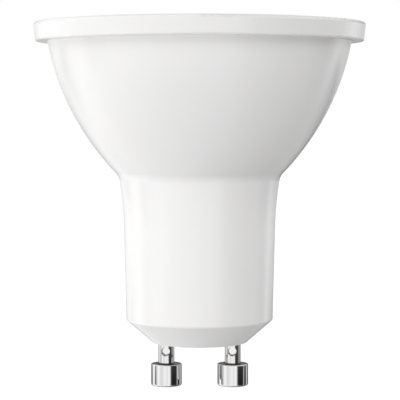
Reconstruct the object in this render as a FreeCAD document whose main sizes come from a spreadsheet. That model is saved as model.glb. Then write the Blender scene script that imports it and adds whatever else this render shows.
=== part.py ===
import FreeCAD, Part
import Sketcher
import math
import os
import re

# GU10 mains spotlight bulb with light-emitting diodes, standing on its two contact pins.
# Millimetres. The origin is on the surface under the pins, on the bulb's axis, and +Z is up.
# The two pins lie on the X axis, and their crimps face -Y.

V = FreeCAD.Vector
doc = FreeCAD.newDocument("SpotlightBulb")

# Driving sizes

SIZES = [
    # Contact pins
    ("pin_spacing", 10.0, "between the two pin axes"),
    ("pin_length", 6.6, "from the foot to the base face"),
    ("foot_diameter", 4.62, "wide foot of a pin"),
    ("foot_height", 3.3, "foot, up to its step"),
    ("foot_rounding", 0.3, "radius on the lower rim of the foot"),
    ("foot_back_rounding", 0.12, "radius on the upper rim of the foot"),
    ("stem_diameter", 2.4, "thin stem of a pin"),
    ("pin_fit", 0.03, "gap round a stem in its hole"),
    ("collar_diameter", 3.4, "riveted collar inside the base"),
    ("collar_thickness", 0.5, "riveted collar inside the base"),
    ("tail_height", 1.2, "open end of a pin above its collar"),
    ("crimp_drop", 1.4, "centre of the crimp below the base face"),
    ("crimp_mouth", 1.37, "crimp's diameter at the stem's surface"),
    ("crimp_floor", 1.1, "crimp's diameter at its flat floor"),
    ("crimp_depth", 1.0, "crimp's depth below the stem's front"),
    ("crimp_turn", 6.0, "degrees that the crimps are turned from the front"),
    ("crimp_land", 0.4, "metal between the crimp and the bore above it"),
    ("bore_diameter", 0.9, "bore of a pin for its lead"),
    # Outside of the housing, from the base up
    ("base_margin", 2.05, "base face beyond the pin axes, to its sharp corner"),
    ("cone_height", 3.44, "cone above the base face"),
    ("cone_spread", 3.95, "how far the cone widens on each side"),
    ("neck_height", 14.56, "straight drafted part of the neck"),
    ("neck_draft", 0.37, "how far the neck widens on each side"),
    ("flare_height", 7.0, "flare at the top of the neck"),
    ("flare_spread", 0.75, "how far the flare widens on each side"),
    ("bowl_height", 20.02, "bowl, up to the underside of the rim"),
    ("bowl_spread", 10.55, "how far the bowl widens on each side"),
    ("bowl_radius", 38.7, "radius of the bowl's curve"),
    ("rim_height", 2.78, "front rim"),
    ("rim_overhang", 1.81, "underside of the rim beyond the bowl"),
    ("rim_draft", 0.31, "how far the rim widens on each side"),
    ("rim_wall", 2.29, "front of the rim outside the lens's seat"),
    ("rim_front_rounding", 0.4, "radius on the front edge"),
    ("rim_back_rounding", 0.3, "radius on the underside's edge"),
    ("joint_rounding", 2.0, "hollow radius between flare and bowl"),
    ("neck_rounding", 0.4, "radius between neck and cone"),
    ("base_rounding", 0.15, "radius round the base face"),
    # Inside of the housing
    ("wall", 1.7, "wall of neck, cone and bowl"),
    ("floor_thickness", 2.4, "base under the pins' collars"),
    ("boss_diameter", 4.6, "bosses for the board screws"),
    ("pilot_end", 1.0, "screw holes in the bosses beyond a screw's tip"),
    ("guide_gap", 0.3, "between a pin's collar and the board guides"),
    ("guide_thickness", 1.1, "each side of a board guide"),
    ("slot_fit", 0.1, "gap round the driver board in its guides"),
    ("board_lift", 2.0, "driver board above the base's inside"),
    # Front lens
    ("lens_fit", 0.1, "gap round the lens"),
    ("lens_thickness", 1.4, "plate of the lens"),
    ("lens_recess", 0.4, "front of the lens behind the rim"),
    ("led_count", 6, "light-emitting diodes on the ring"),
    ("cup_spacing", 0.4, "between two collimators at the plate"),
    ("cup_top_diameter", 10.0, "collimator at the plate"),
    ("cup_bottom_diameter", 4.8, "collimator over its diode"),
    ("cup_height", 6.0, "collimator"),
    ("cup_curve_radius", 16.0, "bulge of the collimator's side"),
    ("well_diameter", 3.6, "well in the collimator over its diode"),
    ("well_depth", 2.2, "well, up to its domed top"),
    ("well_dome", 0.5, "height of the well's dome"),
    # Light board and heat spreader
    ("led_size", 3.0, "side of a diode package"),
    ("led_height", 0.7, "height of a diode package"),
    ("led_window", 2.4, "round phosphor window of a diode"),
    ("led_window_depth", 0.1, "phosphor below the package's top"),
    ("led_gap", 0.2, "between diode and collimator"),
    ("light_board_gap", 0.3, "between the light board and the dish's bend"),
    ("light_board_thickness", 1.2, "aluminium board"),
    ("spreader_thickness", 1.2, "pressed aluminium dish"),
    ("spreader_gap", 0.3, "between the dish and the housing"),
    ("spreader_bend", 0.8, "inside bend of the dish"),
    ("spreader_clear", 1.1, "between the dish's edge and the lens"),
    ("screw_edge", 0.7, "screw head inside the light board's edge"),
    ("screw_diameter", 1.9, "thread of a board screw"),
    ("screw_fit", 0.05, "gap round a screw"),
    ("screw_length", 7.4, "board screw below its head"),
    ("head_diameter", 3.8, "pan head"),
    ("head_height", 1.4, "pan head"),
    ("head_rounding", 0.6, "radius on the pan head"),
    ("cross_length", 2.2, "cross recess, tip to tip"),
    ("cross_width", 0.5, "cross recess"),
    ("cross_depth", 0.8, "cross recess"),
    # Link from the driver to the light board
    ("link_pitch", 2.54, "between the two link pins"),
    ("link_pin_size", 0.64, "square link pin"),
    ("header_width", 5.08, "plastic block of the link pins"),
    ("header_depth", 2.5, "plastic block of the link pins"),
    ("header_height", 2.5, "plastic block of the link pins"),
    ("link_tail", 2.0, "link pins below their block"),
    ("socket_width", 5.2, "socket on the light board"),
    ("socket_depth", 3.0, "socket on the light board"),
    ("socket_height", 1.8, "socket on the light board"),
    ("socket_fit", 0.05, "gap round a link pin"),
    ("window_width", 4.2, "window for the link in the light board"),
    ("window_depth", 2.0, "window for the link in the light board"),
    ("window_margin", 0.6, "the dish's window is larger by this all round"),
    # Driver board and its components
    ("driver_thickness", 1.2, "driver board"),
    ("driver_side_gap", 0.2, "between the driver board's slots and the neck's wall"),
    ("driver_shoulder_gap", 1.8, "between the driver board and the bowl's wall"),
    ("driver_head_room", 1.5, "between the driver board and the dish"),
    ("driver_shoulder_height", 7.0, "wide part of the driver board"),
    ("fuse_diameter", 3.0, "fusible resistor"),
    ("fuse_length", 7.5, "fusible resistor"),
    ("fuse_rounding", 0.6, "both ends of the fusible resistor"),
    ("fuse_gap", 0.2, "between the fusible resistor and the board"),
    ("fuse_lift", 1.3, "fusible resistor above its pin"),
    ("lead_diameter", 0.7, "solid mains lead"),
    ("lead_bend", 1.2, "bend of a lead, on its centre line"),
    ("lead_over", 1.8, "upper lead of the fusible resistor above its body"),
    ("lead_slant", 1.6, "height over which the plain lead leans to the board"),
    ("lead_foot", 0.2, "lead's end above the bottom of its bore"),
    ("lead_rise", 4.4, "lead's end above its pin"),
    ("can_diameter", 8.0, "smoothing capacitor"),
    ("can_length", 9.0, "smoothing capacitor"),
    ("can_neck", 0.35, "depth of the rolled groove in the can"),
    ("can_groove_lift", 0.9, "rolled groove above the can's lower rim"),
    ("can_gap", 0.4, "between the choke and the capacitor's leads"),
    ("can_pitch", 3.5, "between the capacitor's two leads"),
    ("can_lead_diameter", 0.5, "lead of the capacitor"),
    ("can_lead_drop", 1.3, "lead's bend below the capacitor"),
    ("drum_diameter", 8.0, "choke's ferrite drum"),
    ("drum_height", 7.6, "choke's ferrite drum"),
    ("drum_waist", 3.6, "choke's ferrite drum inside its winding"),
    ("drum_flange", 1.2, "each flange of the drum"),
    ("winding_diameter", 7.2, "choke's winding"),
    ("drum_gap", 0.3, "height of the choke above the fusible resistor"),
    ("film_width", 7.2, "film capacitor"),
    ("film_depth", 4.6, "film capacitor"),
    ("film_height", 7.4, "film capacitor"),
    ("film_rounding", 0.6, "edges of the film capacitor"),
    ("film_lift", 2.4, "film capacitor above the board's lower edge"),
    ("bridge_width", 4.7, "bridge rectifier"),
    ("bridge_height", 3.9, "bridge rectifier"),
    ("chip_width", 3.9, "driver chip"),
    ("chip_height", 4.9, "driver chip"),
    ("diode_width", 4.3, "flyback diode"),
    ("diode_height", 2.6, "flyback diode"),
    ("package_depth", 1.6, "moulded packages above the board"),
    ("package_standoff", 0.1, "moulded packages clear of the board"),
    ("leg_pitch", 1.27, "between a package's legs"),
    ("leg_width", 0.42, "leg of a package"),
    ("leg_length", 1.0, "leg of a package, sideways"),
    ("leg_thickness", 0.2, "leg of a package"),
    ("bridge_lift", 1.4, "bridge rectifier above the board's lower edge"),
    ("chip_lift", 12.0, "driver chip above the board's lower edge"),
    ("diode_gap", 0.4, "between the board guides and the flyback diode"),
    ("resistor_width", 3.2, "chip resistor"),
    ("resistor_height", 1.6, "chip resistor"),
    ("resistor_depth", 0.6, "chip resistor"),
    ("resistor_lift", 17.6, "lowest chip resistor above the board's lower edge"),
    ("resistor_step", 2.4, "from one chip resistor to the next"),
    ("resistor_offset", 4.6, "chip resistors beside the bulb's axis"),
]
SCREW_COUNT = 3
RESISTOR_COUNT = 3

sheet = doc.addObject("Spreadsheet::Sheet", "Sizes")
for row, (alias, value, note) in enumerate(SIZES, start=1):
    sheet.set(f"A{row}", note)
    sheet.set(f"B{row}", str(value))
    sheet.setAlias(f"B{row}", alias)
doc.recompute()
NAMES = {alias for alias, _, _ in SIZES}


def bound(formula):
    """Return a formula of size names as an expression on the sheet."""
    def spell(match):
        return "Sizes." + match.group(0) if match.group(0) in NAMES else match.group(0)
    return re.sub(r"[a-z_]+", spell, formula)


def number(formula):
    """Return a formula's present value."""
    return float(sheet.evalExpression(bound(formula)))


# Heights and radii that several pieces share

NECK_Z = "(pin_length + cone_height)"
FLARE_Z = f"({NECK_Z} + neck_height)"
BOWL_Z = f"({FLARE_Z} + flare_height)"
RIM_Z = f"({BOWL_Z} + bowl_height)"
FRONT_Z = f"({RIM_Z} + rim_height)"
FLOOR_Z = "(pin_length + floor_thickness)"
PIN_TOP_Z = f"({FLOOR_Z} + collar_thickness + tail_height)"
CRIMP_Z = "(pin_length - crimp_drop)"
BORE_Z = f"({CRIMP_Z} + crimp_mouth / 2 + crimp_land)"
SHELF_Z = f"({FRONT_Z} - lens_recess - lens_thickness)"
LED_Z = f"({SHELF_Z} - cup_height - led_gap - led_height)"
LIGHT_BOARD_Z = f"({LED_Z} - light_board_thickness)"
SPREADER_Z = f"({LIGHT_BOARD_Z} - spreader_thickness)"
DRIVER_Z = f"({FLOOR_Z} + board_lift)"
DRIVER_TOP_Z = f"({SPREADER_Z} - driver_head_room)"
DRUM_Z = f"({PIN_TOP_Z} + fuse_lift + fuse_length + drum_gap + drum_diameter / 2)"
CAN_Z = f"({DRUM_Z} + drum_diameter / 2 + can_gap + can_lead_diameter / 2 + can_lead_drop)"
BOARD_FRONT_Y = "(fuse_diameter / 2 + fuse_gap)"
BOARD_BACK_Y = f"({BOARD_FRONT_Y} + driver_thickness)"
CAN_Y = f"({BOARD_FRONT_Y} - fuse_gap - can_diameter / 2)"
LINK_Y = f"({BOARD_BACK_Y} + header_depth / 2)"
BASE_R = "(pin_spacing / 2 + base_margin)"
NECK_R = f"({BASE_R} + cone_spread)"
FLARE_R = f"({NECK_R} + neck_draft)"
BOWL_R = f"({FLARE_R} + flare_spread)"
BOWL_TOP_R = f"({BOWL_R} + bowl_spread)"
RIM_R = f"({BOWL_TOP_R} + rim_overhang)"
FRONT_R = f"({RIM_R} + rim_draft)"
SEAT_R = f"({FRONT_R} - rim_wall)"
LED_RING_R = "((cup_top_diameter + cup_spacing) / 2 / sin(180 / led_count))"

# The bowl's curve passes through its two ends, and its centre lies inside and above
CHORD = "sqrt(bowl_height^2 + bowl_spread^2)"
SIDE = "sqrt(bowl_radius^2 - (bowl_height^2 + bowl_spread^2) / 4)"
CENTRE_R = f"({BOWL_R} + bowl_spread / 2 - {SIDE} * bowl_height / {CHORD})"
CENTRE_Z = f"({BOWL_Z} + bowl_height / 2 + {SIDE} * bowl_spread / {CHORD})"


def bowl_r(inset, z):
    """Return the radius, at height z, of the bowl's curve moved inwards by inset."""
    return f"({CENTRE_R} + sqrt((bowl_radius - ({inset}))^2 - ({CENTRE_Z} - {z})^2))"


def bowl_z(inset, r):
    """Return the height, at radius r, of the bowl's curve moved inwards by inset."""
    return f"({CENTRE_Z} - sqrt((bowl_radius - ({inset}))^2 - ({r} - {CENTRE_R})^2))"


# Places that follow the bowl's curve or the neck's wall
DISH_OUTER = "(wall + spreader_gap)"
DISH_INNER = "(wall + spreader_gap + spreader_thickness)"
DISH_TOP_Z = f"({SHELF_Z} - spreader_clear)"
DISH_R = bowl_r(DISH_INNER, LIGHT_BOARD_Z)
LIGHT_BOARD_R = f"({DISH_R} - spreader_bend - light_board_gap)"
SCREW_RING_R = f"({LIGHT_BOARD_R} - head_diameter / 2 - screw_edge)"
SHOULDER_Z = f"({DRIVER_TOP_Z} - driver_shoulder_height)"
SHOULDER_R = bowl_r("wall", SHOULDER_Z)
DRIVER_WIDE = f"(sqrt({SHOULDER_R}^2 - {BOARD_BACK_Y}^2) - driver_shoulder_gap)"
DRIVER_HALF = f"(sqrt(({NECK_R} - wall)^2 - ({BOARD_BACK_Y} + slot_fit)^2) - driver_side_gap)"


# Tools for the document

def bind(thing, **formulas):
    """Bind properties of an object to formulas of the sizes; x, y, z place it."""
    for name, formula in formulas.items():
        path = f"Placement.Base.{name}" if name in "xyz" else name
        thing.setExpression(path, bound(str(formula)))


def turn(thing, axis, degrees):
    """Turn an object about an axis through its own origin, by degrees or a formula of them."""
    thing.Placement = FreeCAD.Placement(V(0, 0, 0), FreeCAD.Rotation(axis, number(str(degrees))))


def new_body(label):
    body = doc.addObject("PartDesign::Body", label)
    body.Label = label
    return body


def origin_part(body, role):
    return next(part for part in body.Origin.OriginFeatures if part.Role == role)


def new_sketch(body, name, role="XZ_Plane", **offset):
    """Add a sketch on one of the body's planes, moved along its own x, y or z by formulas."""
    sketch = body.newObject("Sketcher::SketchObject", name)
    sketch.AttachmentSupport = [(origin_part(body, role), "")]
    sketch.MapMode = "FlatFace"
    for axis, formula in offset.items():
        sketch.setExpression(f"AttachmentOffset.Base.{axis}", bound(str(formula)))
    return sketch


def pin_point(sketch, geo, pos, x, y):
    """Fix one point of a sketch's edge at two formulas."""
    for kind, axis, formula in (("DistanceX", -2, x), ("DistanceY", -1, y)):
        if str(formula) == "0":
            sketch.addConstraint(Sketcher.Constraint("PointOnObject", geo, pos, axis))
            continue
        value = number(str(formula))
        index = sketch.addConstraint(Sketcher.Constraint(kind, -1, 1, geo, pos, value))
        sketch.setExpression(f"Constraints[{index}]", bound(str(formula)))


def arc_between(start, end, radius):
    """Return an arc; a positive radius bulges to the right of the way from start to end."""
    chord = end - start
    across = V(-chord.y, chord.x, 0).normalize()
    side = math.sqrt(radius ** 2 - chord.Length ** 2 / 4)
    centre = (start + end) / 2 + across * side * (1 if radius > 0 else -1)
    out = ((start + end) / 2 - centre).normalize()
    return Part.Arc(start, centre + out * abs(radius), end)


def outline(sketch, corners, arcs=None):
    """Draw a closed outline through corners, each a pair of formulas.

    arcs gives, for the edge after a corner, the formula of its signed radius.
    """
    arcs = arcs or {}
    points = [V(number(str(x)), number(str(y)), 0) for x, y in corners]
    ends = []
    for i, start in enumerate(points):
        end = points[(i + 1) % len(points)]
        if i not in arcs:
            geo = sketch.addGeometry(Part.LineSegment(start, end))
            ends.append((geo, 1, 2))
            continue
        geo = sketch.addGeometry(arc_between(start, end, number(arcs[i])))
        forward = sketch.getPoint(geo, 1).distanceToPoint(start) < 1e-6
        ends.append((geo, 1, 2) if forward else (geo, 2, 1))
    for i, (geo, head, tail) in enumerate(ends):
        following, next_head, _ = ends[(i + 1) % len(ends)]
        sketch.addConstraint(Sketcher.Constraint("Coincident", geo, tail, following, next_head))
        pin_point(sketch, geo, head, *corners[i])
        if i in arcs:
            radius = abs(number(arcs[i]))
            index = sketch.addConstraint(Sketcher.Constraint("Radius", geo, radius))
            sketch.setExpression(f"Constraints[{index}]", bound(f"abs({arcs[i]})"))


def rectangle(sketch, x, y, width, depth):
    """Draw a rectangle centred on x, y."""
    left, right = f"({x}) - ({width}) / 2", f"({x}) + ({width}) / 2"
    low, high = f"({y}) - ({depth}) / 2", f"({y}) + ({depth}) / 2"
    outline(sketch, [(left, low), (right, low), (right, high), (left, high)])


def circle(sketch, x, y, diameter):
    """Draw a circle centred on x, y."""
    middle = V(number(str(x)), number(str(y)), 0)
    radius = number(f"({diameter}) / 2")
    geo = sketch.addGeometry(Part.Circle(middle, V(0, 0, 1), radius))
    pin_point(sketch, geo, 3, x, y)
    index = sketch.addConstraint(Sketcher.Constraint("Diameter", geo, 2 * radius))
    sketch.setExpression(f"Constraints[{index}]", bound(diameter))


def feature(body, kind, name, sketch, **formulas):
    """Add a sketched feature, with its length or angle bound to formulas."""
    made = body.newObject(f"PartDesign::{kind}", name)
    made.Profile = sketch
    bind(made, **formulas)
    sketch.Visibility = False
    return made


def revolve(body, name, sketch, kind="Revolution"):
    """Turn a sketch a whole turn about its own vertical axis."""
    made = feature(body, kind, name, sketch)
    made.ReferenceAxis = (sketch, ["V_Axis"])
    made.Angle = 360
    doc.recompute()
    return made


def pad(body, name, sketch, length, down=False):
    made = feature(body, "Pad", name, sketch, Length=length)
    made.Reversed = down
    doc.recompute()
    return made


def pocket(body, name, sketch, length, up=False):
    """Cut a sketch into the solid: down from the sketch's face, or up."""
    before = body.Shape.Volume
    made = feature(body, "Pocket", name, sketch, Length=length)
    made.Reversed = up
    doc.recompute()
    if body.Shape.Volume > before - 1e-6:
        raise ValueError(f"{body.Label}: {name} cuts nothing")
    return made


def polar(body, name, original, count):
    """Repeat a feature round the body's vertical axis."""
    made = body.newObject("PartDesign::PolarPattern", name)
    made.Originals = [original]
    made.Axis = (origin_part(body, "Z_Axis"), [""])
    made.Angle = 360
    bind(made, Occurrences=count)
    body.Tip = made
    doc.recompute()
    return made


def ring_edges(shape, r, z):
    """Return the names of the round edges with radius r at height z."""
    return [
        f"Edge{i}" for i, edge in enumerate(shape.Edges, start=1)
        if isinstance(edge.Curve, Part.Circle)
        and abs(edge.Curve.Radius - r) < 1e-3
        and abs(edge.Curve.Center.z - z) < 1e-3
    ]


def dress(body, kind, name, size, rings):
    """Round or bevel the ring edges given by pairs of radius and height formulas."""
    base = body.Tip
    edges = [edge for r, z in rings for edge in ring_edges(base.Shape, number(str(r)), number(str(z)))]
    made = body.newObject(f"PartDesign::{kind}", name)
    made.Base = (base, edges)
    bind(made, **{"Radius" if kind == "Fillet" else "Size": size})
    doc.recompute()
    return made


def box(name, width, depth, height, x, y, z):
    """Add a box whose base is centred on x, y and whose underside is at z."""
    made = doc.addObject("Part::Box", name)
    bind(made, Length=width, Width=depth, Height=height)
    bind(made, x=f"({x}) - ({width}) / 2", y=f"({y}) - ({depth}) / 2", z=z)
    return made


def gather(kind, label, pieces):
    """Fuse pieces, or keep them side by side, as one sub-part."""
    made = doc.addObject(f"Part::{kind}", label)
    made.Label = label
    setattr(made, "Links" if kind == "Compound" else "Shapes", pieces)
    return made


def bent_wire(points, diameter, bend):
    """Return a round wire along points, with every corner bent to a radius."""
    edges = []
    start = points[0]
    for before, corner, after in zip(points, points[1:], points[2:]):
        back = (before - corner).normalize()
        ahead = (after - corner).normalize()
        half = back.getAngle(ahead) / 2
        reach = bend / math.tan(half)
        middle = corner + (back + ahead).normalize() * (bend / math.sin(half) - bend)
        edges.append(Part.LineSegment(start, corner + back * reach).toShape())
        edges.append(Part.Arc(corner + back * reach, middle, corner + ahead * reach).toShape())
        start = corner + ahead * reach
    edges.append(Part.LineSegment(start, points[-1]).toShape())
    path = Part.Wire(edges)
    section = Part.Wire(Part.Circle(points[0], points[1] - points[0], diameter / 2).toShape())
    wire = path.makePipeShell([section], True, False)
    expected = math.pi * diameter ** 2 / 4 * path.Length
    if abs(wire.Volume / expected - 1) > 0.01:
        raise ValueError("A bent wire's volume doesn't match its length")
    return wire


def shaped(label, shape):
    """Add a sub-part whose form is worked out here from the sheet."""
    made = doc.addObject("Part::Feature", label)
    made.Label = label
    made.Shape = shape
    made.Placement = FreeCAD.Placement()
    return made


# Housing: one white moulding, as an outer form less the core that leaves its inside

def housing_form():
    body = new_body("housing_form")
    sketch = new_sketch(body, "OuterProfile")
    corners = [
        ("0", "pin_length"),
        (BASE_R, "pin_length"),
        (NECK_R, NECK_Z),
        (FLARE_R, FLARE_Z),
        (BOWL_R, BOWL_Z),
        (BOWL_TOP_R, RIM_Z),
        (RIM_R, RIM_Z),
        (FRONT_R, FRONT_Z),
        ("0", FRONT_Z),
    ]
    # The flare leaves the neck in line with it, so its radius follows from the turn
    turned = "(atan(flare_spread / flare_height) - atan(neck_draft / neck_height))"
    flare_radius = f"-sqrt(flare_spread^2 + flare_height^2) / 2 / sin({turned})"
    outline(sketch, corners, {3: flare_radius, 4: "bowl_radius"})
    revolve(body, "OuterTurn", sketch)
    dress(body, "Fillet", "RimFront", "rim_front_rounding", [(FRONT_R, FRONT_Z)])
    dress(body, "Fillet", "RimBack", "rim_back_rounding", [(RIM_R, RIM_Z)])
    dress(body, "Fillet", "FlareToBowl", "joint_rounding", [(BOWL_R, BOWL_Z)])
    dress(body, "Fillet", "NeckToCone", "neck_rounding", [(NECK_R, NECK_Z)])
    dress(body, "Fillet", "BaseEdge", "base_rounding", [(BASE_R, "pin_length")])
    return body


def housing_core():
    """The inside of the moulding: bosses and guides are cuts in it, holes are pins on it."""
    body = new_body("housing_core")
    slope = "(cone_spread / cone_height)"
    sideways = f"(wall * sqrt(1 + {slope}^2))"
    neck_r = f"({NECK_R} - wall)"
    neck_inner_z = f"pin_length + ({neck_r} + {sideways} - {BASE_R}) / {slope}"
    top_r = f"({FLARE_R} - wall)"
    proud_z = f"{FRONT_Z} + rim_height"
    sketch = new_sketch(body, "CoreProfile")
    corners = [
        ("0", FLOOR_Z),
        (f"{BASE_R} + {slope} * floor_thickness - {sideways}", FLOOR_Z),
        (neck_r, neck_inner_z),
        (top_r, bowl_z("wall", top_r)),
        (bowl_r("wall", SHELF_Z), SHELF_Z),
        (SEAT_R, SHELF_Z),
        (SEAT_R, proud_z),
        ("0", proud_z),
    ]
    outline(sketch, corners, {3: "bowl_radius - wall"})
    revolve(body, "CoreTurn", sketch)

    # Three bosses for the board screws, merged with the wall, and their holes
    sketch = new_sketch(body, "BossPlan", "XY_Plane", z=SPREADER_Z)
    circle(sketch, *screw_place(0), "boss_diameter")
    bosses = pocket(body, "Boss", sketch, f"{SPREADER_Z} - {FLARE_Z}")
    polar(body, "Bosses", bosses, SCREW_COUNT)
    sketch = new_sketch(body, "PilotPlan", "XY_Plane", z=SPREADER_Z)
    circle(sketch, *screw_place(0), "screw_diameter + 2 * screw_fit")
    depth = "screw_length - light_board_thickness - spreader_thickness + pilot_end"
    pilot = pad(body, "Pilot", sketch, depth, down=True)
    polar(body, "Pilots", pilot, SCREW_COUNT)

    # Two guides that hold the driver board by its edges, and the slots in them
    guide_depth = "driver_thickness + 2 * slot_fit + 2 * guide_thickness"
    guide_inner = "(pin_spacing / 2 + collar_diameter / 2 + guide_gap)"
    guide_outer = FLARE_R
    board_y = f"({BOARD_FRONT_Y} + {BOARD_BACK_Y}) / 2"
    sketch = new_sketch(body, "GuidePlan", "XY_Plane", z=BOWL_Z)
    for side in ("-1", "1"):
        middle = f"{side} * ({guide_inner} + {guide_outer}) / 2"
        rectangle(sketch, middle, board_y, f"{guide_outer} - {guide_inner}", guide_depth)
    pocket(body, "Guides", sketch, f"{BOWL_Z} - {FLOOR_Z}")
    sketch = new_sketch(body, "SlotPlan", "XY_Plane", z=BOWL_Z)
    slot_width = f"2 * ({DRIVER_HALF} + slot_fit)"
    rectangle(sketch, "0", board_y, slot_width, "driver_thickness + 2 * slot_fit")
    pad(body, "Slots", sketch, f"{BOWL_Z} - {DRIVER_Z}", down=True)

    # Holes for the two contact pins
    sketch = new_sketch(body, "PinPlan", "XY_Plane", z=FLOOR_Z)
    for side in ("-1", "1"):
        circle(sketch, f"{side} * pin_spacing / 2", "0", "stem_diameter + 2 * pin_fit")
    pad(body, "PinHoles", sketch, "2 * floor_thickness", down=True)
    return body


def screw_place(index):
    """Return the x and y of a screw; the screws lie half a step from the diodes."""
    degrees = f"(180 / led_count + {360 * index / SCREW_COUNT:g})"
    return f"{SCREW_RING_R} * cos({degrees})", f"{SCREW_RING_R} * sin({degrees})"


def make_housing():
    housing = doc.addObject("Part::Cut", "housing")
    housing.Label = "housing"
    housing.Base = housing_form()
    housing.Tool = housing_core()
    return housing


# Contact pins: turned, nickel plated, crimped on their leads

def make_pin(label, side):
    body = new_body(label)
    sketch = new_sketch(body, "PinProfile")
    collar_top = f"{FLOOR_Z} + collar_thickness"
    outline(sketch, [
        ("0", "0"),
        ("foot_diameter / 2", "0"),
        ("foot_diameter / 2", "foot_height"),
        ("stem_diameter / 2", "foot_height"),
        ("stem_diameter / 2", FLOOR_Z),
        ("collar_diameter / 2", FLOOR_Z),
        ("collar_diameter / 2", collar_top),
        ("stem_diameter / 2", collar_top),
        ("stem_diameter / 2", PIN_TOP_Z),
        ("bore_diameter / 2", PIN_TOP_Z),
        ("bore_diameter / 2", BORE_Z),
        ("0", BORE_Z),
    ])
    revolve(body, "PinTurn", sketch)
    dress(body, "Fillet", "FootEdge", "foot_rounding", [("foot_diameter / 2", "0")])
    dress(body, "Fillet", "FootBackEdge", "foot_back_rounding",
          [("foot_diameter / 2", "foot_height")])

    # The punch enters from in front of the stem and keeps its taper over that run
    crimp = body.newObject("PartDesign::SubtractiveCone", "Crimp")
    flank = "(crimp_mouth - crimp_floor) / 2 / crimp_depth"
    run = "stem_diameter / 4"
    bind(crimp, Radius1=f"crimp_mouth / 2 + {flank} * {run}", Radius2="crimp_floor / 2",
         Height=f"crimp_depth + {run}")
    crimp.Placement = FreeCAD.Placement(V(0, 0, 0), FreeCAD.Rotation(V(1, 0, 0), -90))
    bind(crimp, y=f"-stem_diameter / 2 - {run}", z=CRIMP_Z)
    body.Tip = crimp
    turn(body, V(0, 0, 1), "-crimp_turn")
    bind(body, x=f"{side} * pin_spacing / 2")
    return body


# Front lens: one clear moulding with a collimator over each diode

def make_lens():
    body = new_body("lens")
    sketch = new_sketch(body, "PlatePlan", "XY_Plane", z=SHELF_Z)
    circle(sketch, "0", "0", f"2 * ({SEAT_R} - lens_fit)")
    pad(body, "Plate", sketch, "lens_thickness")
    cup_z = f"({SHELF_Z} - cup_height)"
    plate_middle = f"({SHELF_Z} + lens_thickness / 2)"
    sketch = new_sketch(body, "CupProfile", x=LED_RING_R)
    corners = [
        ("0", cup_z),
        ("cup_bottom_diameter / 2", cup_z),
        ("cup_top_diameter / 2", SHELF_Z),
        ("cup_top_diameter / 2", plate_middle),
        ("0", plate_middle),
    ]
    outline(sketch, corners, {1: "cup_curve_radius"})
    cup = revolve(body, "Cup", sketch)
    polar(body, "Cups", cup, "led_count")

    sketch = new_sketch(body, "WellProfile", x=LED_RING_R)
    well_top = f"({cup_z} + well_depth)"
    dome = "((well_diameter / 2)^2 + well_dome^2) / 2 / well_dome"
    corners = [
        ("0", f"{cup_z} - led_gap"),
        ("well_diameter / 2", f"{cup_z} - led_gap"),
        ("well_diameter / 2", well_top),
        ("0", f"{well_top} + well_dome"),
    ]
    outline(sketch, corners, {2: dome})
    before = body.Shape.Volume
    well = revolve(body, "Well", sketch, "Groove")
    polar(body, "Wells", well, "led_count")
    if body.Shape.Volume >= before:
        raise ValueError("lens: the wells cut nothing")
    return body


# Heat spreader and light board

def cut_board_holes(body, top, thickness, margin):
    """Cut the screw holes and the link's window through a round plate."""
    sketch = new_sketch(body, "HolePlan", "XY_Plane", z=top)
    for index in range(SCREW_COUNT):
        circle(sketch, *screw_place(index), "screw_diameter + 2 * screw_fit")
    rectangle(sketch, "0", LINK_Y, f"window_width + 2 * {margin}", f"window_depth + 2 * {margin}")
    pocket(body, "Holes", sketch, thickness)


def make_heat_spreader():
    body = new_body("heat_spreader")
    under_r = bowl_r(DISH_OUTER, SPREADER_Z)
    sketch = new_sketch(body, "DishProfile")
    corners = [
        ("0", SPREADER_Z),
        (under_r, SPREADER_Z),
        (bowl_r(DISH_OUTER, DISH_TOP_Z), DISH_TOP_Z),
        (bowl_r(DISH_INNER, DISH_TOP_Z), DISH_TOP_Z),
        (DISH_R, LIGHT_BOARD_Z),
        ("0", LIGHT_BOARD_Z),
    ]
    outline(sketch, corners, {1: f"bowl_radius - {DISH_OUTER}", 3: f"-(bowl_radius - {DISH_INNER})"})
    revolve(body, "DishTurn", sketch)
    dress(body, "Fillet", "InnerBend", "spreader_bend", [(DISH_R, LIGHT_BOARD_Z)])
    dress(body, "Fillet", "OuterBend", "spreader_bend + spreader_thickness", [(under_r, SPREADER_Z)])
    cut_board_holes(body, LIGHT_BOARD_Z, "spreader_thickness", "window_margin")
    return body


def make_light_board():
    body = new_body("light_board")
    sketch = new_sketch(body, "BoardPlan", "XY_Plane", z=LIGHT_BOARD_Z)
    circle(sketch, "0", "0", f"2 * {LIGHT_BOARD_R}")
    pad(body, "Board", sketch, "light_board_thickness")
    cut_board_holes(body, LED_Z, "light_board_thickness", "0")
    return body


def make_led(index):
    """A square diode package with a round phosphor window, turned to face outwards."""
    body = new_body(f"led_{index + 1}")
    sketch = new_sketch(body, "PackagePlan", "XY_Plane")
    rectangle(sketch, "0", "0", "led_size", "led_size")
    pad(body, "Package", sketch, "led_height")
    sketch = new_sketch(body, "WindowPlan", "XY_Plane", z="led_height")
    circle(sketch, "0", "0", "led_window")
    pocket(body, "Window", sketch, "led_window_depth")
    degrees = f"(360 * {index} / led_count)"
    turn(body, V(0, 0, 1), degrees)
    bind(body, x=f"{LED_RING_R} * cos({degrees})", y=f"{LED_RING_R} * sin({degrees})", z=LED_Z)
    return body


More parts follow.
